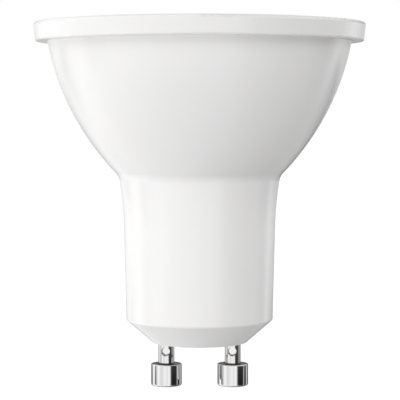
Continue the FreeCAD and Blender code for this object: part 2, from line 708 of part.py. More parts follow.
def make_screw(index):
    """A pan-head screw through light board and dish into its boss."""
    body = new_body(f"board_screw_{index + 1}")
    sketch = new_sketch(body, "ScrewProfile")
    outline(sketch, [
        ("0", "-screw_length"),
        ("screw_diameter / 2", "-screw_length"),
        ("screw_diameter / 2", "0"),
        ("head_diameter / 2", "0"),
        ("head_diameter / 2", "head_height"),
        ("0", "head_height"),
    ])
    revolve(body, "ScrewTurn", sketch)
    dress(body, "Fillet", "HeadEdge", "head_rounding", [("head_diameter / 2", "head_height")])
    slots = (("SlotX", "cross_length", "cross_width"), ("SlotY", "cross_width", "cross_length"))
    for name, width, depth in slots:
        sketch = new_sketch(body, name + "Plan", "XY_Plane", z="head_height")
        rectangle(sketch, "0", "0", width, depth)
        pocket(body, name, sketch, "cross_depth")
    x, y = screw_place(index)
    bind(body, x=x, y=y, z=LED_Z)
    return body


# Link between the driver board and the light board

def cut_pin_holes(body, top, height, fit):
    sketch = new_sketch(body, "PinHolePlan", "XY_Plane", z=top)
    for side in ("-1", "1"):
        size = f"link_pin_size + 2 * {fit}"
        rectangle(sketch, f"{side} * link_pitch / 2", "0", size, size)
    pocket(body, "PinHoles", sketch, height)


def make_link_block(label, width, depth, height, fit):
    """A plastic block with a square hole for each link pin."""
    body = new_body(label)
    sketch = new_sketch(body, "BlockPlan", "XY_Plane")
    rectangle(sketch, "0", "0", width, depth)
    pad(body, "Block", sketch, height)
    cut_pin_holes(body, height, height, fit)
    return body


def make_link():
    header = make_link_block("output_header", "header_width", "header_depth", "header_height", "0")
    header_z = f"({DRIVER_TOP_Z} - header_height)"
    bind(header, y=LINK_Y, z=header_z)
    socket = make_link_block("board_socket", "socket_width", "socket_depth", "socket_height", "socket_fit")
    bind(socket, y=LINK_Y, z=LED_Z)
    length = f"{LED_Z} + socket_height - {header_z} + link_tail"
    pins = [
        box(f"LinkPin{side}", "link_pin_size", "link_pin_size", length,
            f"{sign} * link_pitch / 2", LINK_Y, f"{header_z} - link_tail")
        for side, sign in (("Left", "-1"), ("Right", "1"))
    ]
    return [header, socket, gather("Compound", "output_pins", pins)]


# Driver board and its components

def make_driver_board():
    body = new_body("driver_board")
    sketch = new_sketch(body, "BoardOutline")
    right = [
        (DRIVER_HALF, DRIVER_Z),
        (DRIVER_HALF, SHOULDER_Z),
        (DRIVER_WIDE, SHOULDER_Z),
        (DRIVER_WIDE, DRIVER_TOP_Z),
    ]
    left = [(f"-{x}", z) for x, z in reversed(right)]
    outline(sketch, right + left)
    pad(body, "Board", sketch, "driver_thickness", down=True)
    bind(body, y=BOARD_FRONT_Y)
    return body


def make_capacitor():
    """The smoothing capacitor: an aluminium can with a rolled groove over its rubber bung."""
    body = new_body("smoothing_capacitor")
    groove_middle = "can_groove_lift + can_neck"
    sketch = new_sketch(body, "CanProfile")
    outline(sketch, [
        ("0", "0"),
        ("can_diameter / 2", "0"),
        ("can_diameter / 2", "can_groove_lift"),
        ("can_diameter / 2 - can_neck", groove_middle),
        ("can_diameter / 2", f"{groove_middle} + can_neck"),
        ("can_diameter / 2", "can_length"),
        ("0", "can_length"),
    ])
    revolve(body, "CanTurn", sketch)
    rims = [("can_diameter / 2", "0"), ("can_diameter / 2", "can_length")]
    dress(body, "Fillet", "CanEdges", "can_neck", rims)
    bind(body, y=CAN_Y, z=CAN_Z)
    return body


def make_capacitor_leads():
    """Two tinned leads that run down from the can and turn in to the driver board."""
    top = number(CAN_Z)
    low = top - number("can_lead_drop")
    wires = []
    for side in (-1, 1):
        x = side * number("can_pitch / 2")
        points = [V(x, number(CAN_Y), top), V(x, number(CAN_Y), low), V(x, number(BOARD_FRONT_Y), low)]
        wires.append(bent_wire(points, number("can_lead_diameter"), number("2 * can_lead_diameter")))
    return shaped("capacitor_leads", Part.makeCompound(wires))


def make_choke():
    """A ferrite drum standing on the driver board, and the copper wound on its waist."""
    core = new_body("choke_core")
    upper = "drum_height - drum_flange"
    sketch = new_sketch(core, "DrumProfile")
    outline(sketch, [
        ("0", "0"),
        ("drum_diameter / 2", "0"),
        ("drum_diameter / 2", "drum_flange"),
        ("drum_waist / 2", "drum_flange"),
        ("drum_waist / 2", upper),
        ("drum_diameter / 2", upper),
        ("drum_diameter / 2", "drum_height"),
        ("0", "drum_height"),
    ])
    revolve(core, "DrumTurn", sketch)
    winding = new_body("choke_winding")
    sketch = new_sketch(winding, "WindingProfile")
    outline(sketch, [
        ("drum_waist / 2", "drum_flange"),
        ("winding_diameter / 2", "drum_flange"),
        ("winding_diameter / 2", upper),
        ("drum_waist / 2", upper),
    ])
    revolve(winding, "WindingTurn", sketch)
    for piece in (core, winding):
        turn(piece, V(1, 0, 0), 90)
        bind(piece, y=BOARD_FRONT_Y, z=DRUM_Z)
    return [core, winding]


def make_film_capacitor():
    body = new_body("film_capacitor")
    sketch = new_sketch(body, "FilmPlan", "XY_Plane")
    rectangle(sketch, "0", "film_depth / 2", "film_width", "film_depth")
    block = pad(body, "FilmBlock", sketch, "film_height")
    edges = [
        f"Edge{i}" for i, edge in enumerate(block.Shape.Edges, start=1)
        if min(vertex.Point.y for vertex in edge.Vertexes) > number("film_depth") - 1e-6
    ]
    rounding = body.newObject("PartDesign::Fillet", "FilmEdges")
    rounding.Base = (block, edges)
    bind(rounding, Radius="film_rounding")
    bind(body, y=BOARD_BACK_Y, z=f"{DRIVER_Z} + film_lift")
    return body


def make_package(label, width, height, legs, x, z, front=False):
    """A moulded package on the driver board, with legs down its two sides.

    x is the middle, z the lower end, and front puts it on the board's front face.
    """
    facing = "-1" if front else "1"
    face = BOARD_FRONT_Y if front else BOARD_BACK_Y
    depth = "(package_depth - package_standoff)"
    pieces = [box(f"{label}_block", width, depth, height, x,
                  f"{face} + {facing} * (package_standoff + {depth} / 2)", z)]
    for side in ("-1", "1"):
        for leg in range(legs):
            name = f"{label}_leg_{'left' if side == '-1' else 'right'}_{leg + 1}"
            leg_z = f"{z} + ({height}) / 2 + ({leg} - ({legs} - 1) / 2) * leg_pitch - leg_width / 2"
            foot_x = f"({x}) + {side} * (({width}) / 2 + leg_length / 2)"
            foot_y = f"{face} + {facing} * leg_thickness / 2"
            shin_x = f"({x}) + {side} * (({width}) / 2 + leg_thickness / 2)"
            shin_y = f"{face} + {facing} * package_depth / 4"
            pieces.append(box(name + "_foot", "leg_length", "leg_thickness", "leg_width",
                              foot_x, foot_y, leg_z))
            pieces.append(box(name, "leg_thickness", "package_depth / 2", "leg_width",
                              shin_x, shin_y, leg_z))
    return gather("MultiFuse", label, pieces)


def make_resistor(index):
    z = f"{DRIVER_Z} + resistor_lift + {index} * resistor_step"
    y = f"{BOARD_BACK_Y} + resistor_depth / 2"
    chip = box(f"chip_resistor_{index + 1}", "resistor_width", "resistor_depth", "resistor_height",
               "resistor_offset", y, z)
    chip.Label = f"chip_resistor_{index + 1}"
    return chip


def make_mains_leads():
    """The left pin's lead carries the fusible resistor; the right pin's lead is a plain wire."""
    thick = number("lead_diameter")
    bend = number("lead_bend")
    foot_z = number(f"{BORE_Z} + lead_foot")
    pin_top = number(PIN_TOP_Z)
    board_y = number(BOARD_FRONT_Y)
    on_board_y = board_y - thick / 2

    left_x = number("-pin_spacing / 2")
    low = pin_top + number("fuse_lift")
    high = low + number("fuse_length")
    body = Part.makeCylinder(number("fuse_diameter / 2"), high - low, V(left_x, 0, low))
    rims = [edge for edge in body.Edges if isinstance(edge.Curve, Part.Circle)]
    body = body.makeFillet(number("fuse_rounding"), rims)
    lower = Part.makeCylinder(thick / 2, low - foot_z, V(left_x, 0, foot_z))
    over = high + number("lead_over")
    upper = bent_wire([V(left_x, 0, high), V(left_x, 0, over), V(left_x, board_y, over)], thick, bend)
    fuse = body.fuse([lower, upper]).removeSplitter()

    right_x = -left_x
    end = pin_top + number("lead_rise")
    knee = pin_top + bend
    slant_end = knee + number("lead_slant")
    points = [V(right_x, 0, foot_z), V(right_x, 0, knee), V(right_x, on_board_y, slant_end),
              V(right_x, on_board_y, end)]
    return [shaped("fuse_resistor", fuse), shaped("mains_lead", bent_wire(points, thick, bend))]


# Build every sub-part

parts = [make_housing(), make_pin("pin_left", "-1"), make_pin("pin_right", "1"), make_lens()]
parts += [make_heat_spreader(), make_light_board()]
parts += [make_led(index) for index in range(int(number("led_count")))]
parts += [make_screw(index) for index in range(SCREW_COUNT)]
parts += make_link()
parts += [make_driver_board(), make_capacitor(), make_capacitor_leads()]
parts += make_choke()
parts += [
    make_film_capacitor(),
    make_package("bridge_rectifier", "bridge_width", "bridge_height", 2, "0",
                 f"{DRIVER_Z} + bridge_lift", True),
    make_package("driver_chip", "chip_width", "chip_height", 4, "0", f"{DRIVER_Z} + chip_lift"),
    make_package("flyback_diode", "diode_width", "diode_height", 1, "-resistor_offset",
                 f"{BOWL_Z} + diode_gap"),
]
parts += [make_resistor(index) for index in range(RESISTOR_COUNT)]
parts += make_mains_leads()
doc.recompute()

# Check the document, then write one file for each sub-part

for thing in doc.Objects:
    if "Invalid" in thing.State or "Error" in thing.State:
        raise ValueError(f"{thing.Label} didn't compute: {thing.State}")
for part in parts:
    if part.Shape.isNull() or not part.Shape.isValid():
        raise ValueError(f"{part.Label} has no valid shape")

os.makedirs("parts", exist_ok=True)
for part in parts:
    part.Shape.exportStep(f"parts/{part.Label}.step")
    print(f"{part.Label}: {len(part.Shape.Solids)} solid, {part.Shape.Volume:.1f} mm3")
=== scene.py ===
"""A mains LED spotlight bulb on its two contact pins: finishes, fine details, stage and camera."""

import logging
import math
from collections.abc import Callable, Iterable
from dataclasses import dataclass, field
from enum import Enum

import bmesh
import bpy
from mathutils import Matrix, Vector


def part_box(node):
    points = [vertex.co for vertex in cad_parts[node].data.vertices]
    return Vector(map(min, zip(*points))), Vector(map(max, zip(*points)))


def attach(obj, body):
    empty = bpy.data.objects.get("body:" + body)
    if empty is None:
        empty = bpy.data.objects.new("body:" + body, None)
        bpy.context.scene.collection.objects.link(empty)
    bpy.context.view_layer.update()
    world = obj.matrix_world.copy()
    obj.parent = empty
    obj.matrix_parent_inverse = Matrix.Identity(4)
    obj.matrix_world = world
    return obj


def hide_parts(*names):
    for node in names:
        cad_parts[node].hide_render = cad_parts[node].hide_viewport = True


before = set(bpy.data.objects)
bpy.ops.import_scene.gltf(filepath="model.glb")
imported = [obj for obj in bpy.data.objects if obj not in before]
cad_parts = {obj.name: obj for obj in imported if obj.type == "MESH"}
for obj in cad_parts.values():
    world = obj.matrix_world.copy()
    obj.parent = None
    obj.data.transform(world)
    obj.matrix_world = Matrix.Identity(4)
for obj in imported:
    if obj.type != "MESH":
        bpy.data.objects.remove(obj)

MM = 0.001
ROOT = "root"
LOG = logging.getLogger("spotlight_bulb")

# Distances in metres: points this near are one, and points this near a level lie in it
WELD = 1e-7
COARSE_WELD = 1e-6
LEVEL = 1e-5

Colour = tuple[float, float, float, float]
Steps = tuple[tuple[float, float], ...]


def linear(code: str) -> Colour:
    """Turn an sRGB hex colour into a linear one.

    Args:
        code: The colour, as #RRGGBB.

    Returns:
        Red, green, blue and an alpha of one.
    """
    parts = [int(code[i:i + 2], 16) / 255 for i in (1, 3, 5)]
    red, green, blue = (c / 12.92 if c <= 0.04045 else ((c + 0.055) / 1.055) ** 2.4
                        for c in parts)
    return red, green, blue, 1.0


def grey(level: float) -> Colour:
    """Return a linear grey."""
    return level, level, level, 1.0


def per_mm(size: float) -> float:
    """Return the texture scale that gives features of a size in millimetres."""
    return 1.0 / (size * MM)


def add_node(tree: bpy.types.NodeTree, kind: str, values: dict | None = None,
             links: dict | None = None, **settings: object) -> bpy.types.Node:
    """Add a node with its settings, socket values and links.

    Args:
        tree: The tree that the node goes into.
        kind: The node's type.
        values: Socket names or numbers, and the values set on them.
        links: Socket names or numbers, and the outputs joined to them.
        **settings: Properties of the node itself.

    Returns:
        The new node.
    """
    made = tree.nodes.new(kind)
    for name, value in settings.items():
        setattr(made, name, value)
    for key, value in (values or {}).items():
        made.inputs[key].default_value = value
    for key, output in (links or {}).items():
        tree.links.new(output, made.inputs[key])
    return made


# Finishes


@dataclass(frozen=True)
class Skin:
    """A material's nodes while its finish adds a pattern to them.

    Attributes:
        tree: The material's node tree.
        shader: Its principled shader.
        place: The point on the object, in the object's own coordinates.
    """

    tree: bpy.types.NodeTree
    shader: bpy.types.Node
    place: bpy.types.NodeSocket

    def put(self, socket: str, value: float | Colour) -> None:
        """Set one of the shader's sockets to a value that is the same all over."""
        self.shader.inputs[socket].default_value = value

    def mapped(self, **change: tuple[float, float, float]) -> bpy.types.NodeSocket:
        """Return the place after a change of Scale or Rotation."""
        return add_node(self.tree, "ShaderNodeMapping", change,
                        {"Vector": self.place}).outputs["Vector"]

    def noise(self, size: float, detail: float,
              place: bpy.types.NodeSocket | None = None) -> bpy.types.NodeSocket:
        """Make a cloudy pattern.

        Args:
            size: How large its features are, in millimetres.
            detail: How many finer layers it has.
            place: Where it is read, if that isn't the plain place.

        Returns:
            The pattern, from 0 to 1.
        """
        return add_node(self.tree, "ShaderNodeTexNoise", {"Scale": per_mm(size), "Detail": detail},
                        {"Vector": place or self.place}).outputs["Fac"]

    def vary(self, pattern: bpy.types.NodeSocket, base: str, other: str) -> None:
        """Blend the base colour towards another one.

        Args:
            pattern: Where the other colour shows, from 0 to 1.
            base: The base colour, as #RRGGBB.
            other: The other colour.
        """
        mix = add_node(self.tree, "ShaderNodeMix", {6: linear(base), 7: linear(other)},
                       {0: pattern}, data_type="RGBA")
        self.tree.links.new(mix.outputs[2], self.shader.inputs["Base Color"])

    def emboss(self, pattern: bpy.types.NodeSocket, depth: float) -> None:
        """Raise and sink the surface.

        Args:
            pattern: The height, from 0 to 1.
            depth: How far the pattern's whole range stands up, in millimetres.
        """
        bump = add_node(self.tree, "ShaderNodeBump", {"Strength": 1.0, "Distance": depth * MM},
                        {"Height": pattern})
        self.tree.links.new(bump.outputs["Normal"], self.shader.inputs["Normal"])

    def spread(self, pattern: bpy.types.NodeSocket, middle: float,
               reach: tuple[float, float]) -> None:
        """Let the roughness change over the surface.

        Args:
            pattern: Where it is rougher, from 0 to 1.
            middle: The finish's own roughness.
            reach: How far the roughness goes below that and above it.
        """
        below, above = reach
        ramp = add_node(self.tree, "ShaderNodeMapRange",
                        {"To Min": middle - below, "To Max": middle + above}, {"Value": pattern})
        self.tree.links.new(ramp.outputs["Result"], self.shader.inputs["Roughness"])


@dataclass(frozen=True)
class Finish:
    """A material for one real surface; the classes below give each its look.

    Attributes:
        name: The material's name.
        colour: Its base colour, as #RRGGBB.
        roughness: How much it blurs what it reflects.
        metallic: 1 for a bare metal, else 0.
        ior: Its index of refraction, for what isn't a metal.
    """

    name: str
    colour: str
    roughness: float
    metallic: float = 0.0
    ior: float | None = None

    def build(self) -> bpy.types.Material:
        """Make the finish a Blender material, once.

        Returns:
            The material.
        """
        made = bpy.data.materials.get(self.name)
        if made is not None:
            return made
        made = bpy.data.materials.new(self.name)
        made.use_nodes = True
        tree = made.node_tree
        skin = Skin(tree, tree.nodes["Principled BSDF"],
                    add_node(tree, "ShaderNodeTexCoord").outputs["Object"])
        skin.put("Base Color", linear(self.colour))
        skin.put("Roughness", self.roughness)
        skin.put("Metallic", self.metallic)
        if self.ior is not None:
            skin.put("IOR", self.ior)
        self.shade(skin)
        return made

    def shade(self, skin: Skin) -> None:
        """Add the surface's own pattern to the plain shader."""


@dataclass(frozen=True)
class GlossyPolyester(Finish):
    """Injection-moulded white polyester off a polished tool: clear, slightly soft reflections.

    Attributes:
        ripple: How long the flow ripples are, in millimetres.
        ripple_depth: How deep they are, in millimetres.
        cloud: How wide the patches of uneven gloss are, in millimetres.
        cloud_tone: The colour of the duller patches.
        gloss: How far the roughness goes below and above its own.
    """

    ripple: float = 2.6
    ripple_depth: float = 0.004
    cloud: float = 7.0
    cloud_tone: str = "#EFEEED"
    gloss: tuple[float, float] = (0.02, 0.02)

    def shade(self, skin: Skin) -> None:
        """Add the faint flow ripple and the uneven gloss of a moulding.

        Args:
            skin: The material's nodes.
        """
        skin.emboss(skin.noise(self.ripple, detail=1.5), self.ripple_depth)
        cloud = skin.noise(self.cloud, detail=2.0)
        skin.spread(cloud, self.roughness, self.gloss)
        skin.vary(cloud, self.colour, self.cloud_tone)


@dataclass(frozen=True)
class NickelPlate(Finish):
    """Bright nickel on turned brass: a mirror crossed by the lathe's faint rings.

    Attributes:
        edge: The tint of what it reflects at a grazing angle, duller than straight on.
        ring: How far apart the turning rings are, in millimetres.
        ring_depth: How deep they are, in millimetres.
        ring_squeeze: How little the rings' pattern changes across the pin's axis.
        bloom: How wide the patches of uneven gloss are, in millimetres.
        gloss: How far the roughness goes below and above its own.
    """

    edge: str = "#A3A19F"
    ring: float = 0.22
    ring_depth: float = 0.0006
    ring_squeeze: float = 0.03
    bloom: float = 0.9
    gloss: tuple[float, float] = (0.02, 0.03)

    def shade(self, skin: Skin) -> None:
        """Add the turning rings, drawn at 0.22 mm because the real 0.05 mm wouldn't show.

        Args:
            skin: The material's nodes.
        """
        skin.put("Specular Tint", linear(self.edge))
        along = skin.mapped(Scale=(self.ring_squeeze, self.ring_squeeze, 1.0))
        skin.emboss(skin.noise(self.ring, detail=2.0, place=along), self.ring_depth)
        skin.spread(skin.noise(self.bloom, detail=3.0), self.roughness, self.gloss)


@dataclass(frozen=True)
class ClearAcrylic(Finish):
    """Clear moulded acrylic: see-through, with a hard gloss and a trace of flow ripple.

    Attributes:
        ripple: How long the flow ripples are, in millimetres.
        ripple_depth: How deep they are, in millimetres.
    """

    ripple: float = 3.0
    ripple_depth: float = 0.002

    def shade(self, skin: Skin) -> None:
        """Make it transmit, and give it its slight waviness."""
        skin.put("Transmission Weight", 1.0)
        skin.emboss(skin.noise(self.ripple, detail=1.0), self.ripple_depth)


@dataclass(frozen=True)
class PressedAluminium(Finish):
    """Bare rolled sheet, pressed: a dull metal sheen with rolling lines along X.

    Attributes:
        line: How far apart the rolling lines are, in millimetres.
        line_depth: How deep they are, in millimetres.
        line_squeeze: How little the lines' pattern changes along X.
        smear: How wide the press's smears are, in millimetres.
        smear_tone: Their colour.
        gloss: How far the roughness goes below and above its own.
    """

    line: float = 0.3
    line_depth: float = 0.004
    line_squeeze: float = 0.05
    smear: float = 5.0
    smear_tone: str = "#B4B6B8"
    gloss: tuple[float, float] = (0.07, 0.09)

    def shade(self, skin: Skin) -> None:
        """Add the rolling lines and the smears that the press leaves.

        Args:
            skin: The material's nodes.
        """
        along = skin.mapped(Scale=(self.line_squeeze, 1.0, 1.0))
        skin.emboss(skin.noise(self.line, detail=3.0, place=along), self.line_depth)
        smear = skin.noise(self.smear, detail=3.0)
        skin.spread(smear, self.roughness, self.gloss)
        skin.vary(smear, self.colour, self.smear_tone)


@dataclass(frozen=True)
class SolderMask(Finish):
    """Screened solder mask: a satin skin that stands up over the copper tracks under it.

    Attributes:
        track: How wide a copper track is, in millimetres.
        copper: The mask's colour over copper, a shade off its colour over the bare laminate.
        foil: How thick the copper is, in millimetres.
        turn: How far the pattern is turned about X to lie in the board's face, in degrees.
        run: How far apart the cross tracks are, in tracks.
        row: How far apart the long tracks are, in tracks.
        half: Half a track, in tracks.
        soft: How much of a track's edge is rounded.
        stagger: How far a row's cross tracks are moved along, and every how many rows.
        squash: How much closer a row's cross tracks are, and every how many rows.
    """

    track: float = 0.4
    copper: str = "#2A7148"
    foil: float = 0.035
    turn: float = 0.0
    run: float = 17.0
    row: float = 4.2
    half: float = 0.5
    soft: float = 0.2
    stagger: tuple[float, int] = (0.37, 3)
    squash: tuple[float, int] = (0.42, 2)

    def shade(self, skin: Skin) -> None:
        """Add the tracks, stepped and of uneven length, raised by the foil.

        Args:
            skin: The material's nodes.
        """
        flat = skin.mapped(Rotation=(math.radians(self.turn), 0.0, 0.0))
        tracks = add_node(skin.tree, "ShaderNodeTexBrick",
                          {"Scale": per_mm(self.track), "Brick Width": self.run,
                           "Row Height": self.row, "Mortar Size": self.half,
                           "Mortar Smooth": self.soft},
                          {"Vector": flat},
                          offset=self.stagger[0], offset_frequency=self.stagger[1],
                          squash=self.squash[0], squash_frequency=self.squash[1]).outputs["Fac"]
        skin.vary(tracks, self.colour, self.copper)
        skin.emboss(tracks, self.foil)


@dataclass(frozen=True)
class GrainedMoulding(Finish):
    """A filled moulding, ceramic or fired coat: matt, with a fine grain and a mottled tone.

    Attributes:
        grain: How coarse the grain is, in millimetres.
        grain_depth: How deep it is, in millimetres.
        cloud: How wide the patches of the other tone are, in millimetres.
        mottle: The other tone.
    """

    grain: float = 0.12
    grain_depth: float = 0.01
    cloud: float = 1.6
    mottle: str = "#000000"

    def shade(self, skin: Skin) -> None:
        """Add the grain and a slow change of tone."""
        skin.emboss(skin.noise(self.grain, detail=3.0), self.grain_depth)
        skin.vary(skin.noise(self.cloud, detail=2.0), self.colour, self.mottle)


@dataclass(frozen=True)
class DrawnMetal(Finish):
    """Tinned, zinc-plated or soldered metal: bright, with a soft uneven bloom.

    Attributes:
        bloom: How wide the bloom's patches are, in millimetres.
        bloom_depth: How far they stand up, in millimetres.
        gloss: How far the roughness goes below and above its own.
    """

    bloom: float = 0.5
    bloom_depth: float = 0.004
    gloss: tuple[float, float] = (0.08, 0.1)

    def shade(self, skin: Skin) -> None:
        """Add the bloom and the plating's slight texture.

        Args:
            skin: The material's nodes.
        """
        bloom = skin.noise(self.bloom, detail=4.0)
        skin.spread(bloom, self.roughness, self.gloss)
        skin.emboss(bloom, self.bloom_depth)


@dataclass(frozen=True)
class ShrunkSleeve(Finish):
    """A printed film shrunk over an aluminium can: glossy, with a pale stripe down one side.

    Attributes:
        stripe: The stripe's colour.
        stripe_edge: The X under which the stripe shows, in millimetres.
        ripple: How long the film's shrink ripples are, in millimetres.
        ripple_depth: How deep they are, in millimetres.
    """

    stripe: str = "#8E97A6"
    stripe_edge: float = -3.0
    ripple: float = 1.2
    ripple_depth: float = 0.012

    def shade(self, skin: Skin) -> None:
        """Add the stripe on the can's -X side and the film's shrink ripples.

        Args:
            skin: The material's nodes.
        """
        parts = add_node(skin.tree, "ShaderNodeSeparateXYZ", links={"Vector": skin.place})
        side = add_node(skin.tree, "ShaderNodeMath", {1: self.stripe_edge * MM},
                        {0: parts.outputs["X"]}, operation="LESS_THAN")
        skin.vary(side.outputs["Value"], self.colour, self.stripe)
        skin.emboss(skin.noise(self.ripple, detail=1.0), self.ripple_depth)


@dataclass(frozen=True)
class EnamelledWire(Finish):
    """Drawn copper under clear enamel: a warm metal with a wet, slightly uneven gloss on top.

    Attributes:
        coat: How strongly the enamel reflects.
        coat_roughness: How much it blurs.
        cloud: How wide the patches of the other tone are, in millimetres.
        cloud_tone: The other tone.
        drip: How long the runs in the enamel are, in millimetres.
        drip_depth: How far they stand up, in millimetres.
    """

    coat: float = 0.7
    coat_roughness: float = 0.08
    cloud: float = 1.4
    cloud_tone: str = "#8A3F1E"
    drip: float = 0.25
    drip_depth: float = 0.006

    def shade(self, skin: Skin) -> None:
        """Add the enamel's coat, the runs in it and the copper's slow change of tone.

        Args:
            skin: The material's nodes.
        """
        skin.put("Coat Weight", self.coat)
        skin.put("Coat Roughness", self.coat_roughness)
        skin.vary(skin.noise(self.cloud, detail=2.0), self.colour, self.cloud_tone)
        skin.emboss(skin.noise(self.drip, detail=1.0), self.drip_depth)


class Surface(Enum):
    """Every finish on the bulb."""

    HOUSING = GlossyPolyester("glossy_white_polyester", "#F2F1F1", 0.17, ior=1.55)
    PIN = NickelPlate("bright_nickel_plate", "#DBDADA", 0.05, metallic=1.0)
    LENS = ClearAcrylic("clear_moulded_acrylic", "#FCFDFD", 0.02, ior=1.49)
    DISH = PressedAluminium("bare_pressed_aluminium", "#CDCFD1", 0.34, metallic=1.0)
    LIGHT_BOARD = SolderMask("white_solder_mask", "#EDEDE9", 0.42, ior=1.5,
                             track=0.7, copper="#F6F6F3")
    DIODE = GrainedMoulding("white_diode_moulding", "#F3F1EA", 0.38, ior=1.5, mottle="#E9E6DC")
    PHOSPHOR = GrainedMoulding("yellow_phosphor_gel", "#F2C53A", 0.22, ior=1.45,
                               grain=0.05, grain_depth=0.004, mottle="#E3A61F")
    SOLDER = DrawnMetal("reflowed_solder", "#C9CBCD", 0.26, metallic=1.0)
    SCREW = DrawnMetal("zinc_plated_steel", "#C2C6CA", 0.28, metallic=1.0)
    SOCKET = GrainedMoulding("natural_nylon", "#E4DFD0", 0.45, ior=1.53, mottle="#D8D2C0")
    HEADER = GrainedMoulding("black_nylon", "#1C1C1D", 0.5, ior=1.53, mottle="#262627")
    WIRE = DrawnMetal("tinned_copper_wire", "#C8C8C6", 0.24, metallic=1.0)
    DRIVER_BOARD = SolderMask("green_solder_mask", "#1B5531", 0.36, ior=1.5, turn=90.0)
    SLEEVE = ShrunkSleeve("dark_shrunk_sleeve", "#20283C", 0.24, ior=1.5)
    FERRITE = GrainedMoulding("sintered_ferrite", "#3A3837", 0.58, ior=1.9,
                              grain=0.2, mottle="#2B2A2A")
    WINDING = EnamelledWire("enamelled_copper_wire", "#C07A4A", 0.3, metallic=1.0)
    FILM_CASE = GrainedMoulding("dipped_red_resin", "#9E3A1E", 0.2, ior=1.55,
                                grain=0.9, grain_depth=0.05, mottle="#8B2F18")
    EPOXY = GrainedMoulding("moulded_black_epoxy", "#222325", 0.52, ior=1.6,
                            grain=0.09, mottle="#2B2C2E")
    CHIP = GrainedMoulding("glazed_black_chip", "#202124", 0.25, ior=1.6, mottle="#2A2B30")
    CEMENT = GrainedMoulding("grey_green_cement", "#7F9A92", 0.6, ior=1.55,
                             grain=0.25, grain_depth=0.02, mottle="#71897F")

    def dress(self, thing: bpy.types.Object) -> None:
        """Give the whole of an object this finish."""
        thing.data.materials.clear()
        thing.data.materials.append(self.value.build())


# Modelling


class Shaper:
    """Blender's own modelling operators, with the selection made in code."""

    @staticmethod
    def clear() -> None:
        """Leave edit mode and deselect everything."""
        if bpy.context.object is not None and bpy.context.object.mode != "OBJECT":
            bpy.ops.object.mode_set(mode="OBJECT")
        bpy.ops.object.select_all(action="DESELECT")

    @staticmethod
    def named(name: str) -> bpy.types.Object:
        """Name the object that was just added.

        Args:
            name: The name of the object and of its mesh.

        Returns:
            The object.
        """
        thing = bpy.context.object
        thing.name = name
        thing.data.name = name
        return thing

    @classmethod
    def copy(cls, thing: bpy.types.Object, name: str) -> bpy.types.Object:
        """Copy an object with its own mesh.

        Args:
            thing: The object.
            name: The copy's name.

        Returns:
            The copy, selected and active.
        """
        cls.clear()
        thing.select_set(True)
        bpy.context.view_layer.objects.active = thing
        bpy.ops.object.duplicate(linked=False)
        return cls.named(name)

    @classmethod
    def copy_round(cls, thing: bpy.types.Object, name: str, degrees: float) -> bpy.types.Object:
        """Copy a piece, turned about the bulb's axis.

        Args:
            thing: The finished piece.
            name: The copy's name.
            degrees: How far the copy is turned, anticlockwise from above.

        Returns:
            The copy, with its place in its mesh.
        """
        made = cls.copy(thing, name)
        bpy.ops.transform.rotate(value=-math.radians(degrees), orient_axis="Z",
                                 center_override=(0.0, 0.0, 0.0))
        bpy.ops.object.transform_apply(location=True, rotation=True, scale=True)
        return made

    @staticmethod
    def pick_edges(thing: bpy.types.Object, wanted: Callable[[Vector, Vector], bool]) -> None:
        """Select, in edit mode, the edges whose two ends a test accepts.

        Args:
            thing: The object in edit mode.
            wanted: A function of the two ends' places that says whether the edge is selected.
        """
        bpy.ops.mesh.select_mode(type="EDGE")
        mesh = bmesh.from_edit_mesh(thing.data)
        for item in (*mesh.verts, *mesh.edges, *mesh.faces):
            item.select = False
        for edge in mesh.edges:
            if wanted(*(end.co for end in edge.verts)):
                edge.select_set(True)
        mesh.select_flush_mode()
        bmesh.update_edit_mesh(thing.data)

    @staticmethod
    def crown(wall: tuple[float, float, float], steps: Steps) -> None:
        """Raise the selected face straight, and then in rings that close over it.

        Args:
            wall: Which way and how far the straight part goes, in metres.
            steps: How far in and how far up each ring goes, in millimetres.
        """
        bpy.ops.mesh.extrude_region_move(TRANSFORM_OT_translate={"value": wall})
        for inwards, rise in steps:
            bpy.ops.mesh.inset(thickness=inwards * MM, depth=rise * MM)

    @staticmethod
    def settle(thing: bpy.types.Object, angle: float = 40.0) -> None:
        """Put the active object's place into its mesh, and finish its surface.

        Args:
            thing: The active object.
            angle: Edges that turn less than this, in degrees, are smoothed over.
        """
        bpy.ops.object.mode_set(mode="OBJECT")
        bpy.ops.object.transform_apply(location=True, rotation=True, scale=True)
        bpy.ops.object.mode_set(mode="EDIT")
        bpy.ops.mesh.select_all(action="SELECT")
        bpy.ops.mesh.remove_doubles(threshold=WELD)
        bpy.ops.mesh.normals_make_consistent(inside=False)
        bpy.ops.object.mode_set(mode="OBJECT")
        bpy.ops.object.shade_smooth_by_angle(angle=math.radians(angle))
        LOG.debug("%s has %d faces", thing.name, len(thing.data.polygons))


def seat(piece: bpy.types.Object, surface: Surface) -> bpy.types.Object:
    """Dress a new piece and let it ride on the bulb.

    Args:
        piece: The finished piece.
        surface: Its finish.

    Returns:
        The piece.
    """
    surface.dress(piece)
    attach(piece, ROOT)
    LOG.info("%s: %s", piece.name, surface.value.name)
    return piece


def node_object(name: str) -> bpy.types.Object:
    """Return the CAD node's own object."""
    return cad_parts[name]


def middle(name: str) -> Vector:
    """Return the middle of a CAD node's box."""
    low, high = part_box(name)
    return (Vector(low) + Vector(high)) / 2


# Sub-assemblies


@dataclass
class Assembly:
    """Pieces that belong together.

    Attributes:
        finishes: The CAD nodes of the assembly, and the finish of each.
    """

    finishes: dict[str, Surface] = field(default_factory=dict)

    def build(self) -> None:
        """Dress every CAD node of the assembly."""
        for name, surface in self.finishes.items():
            surface.dress(node_object(name))
            LOG.info("%s: %s", name, surface.value.name)


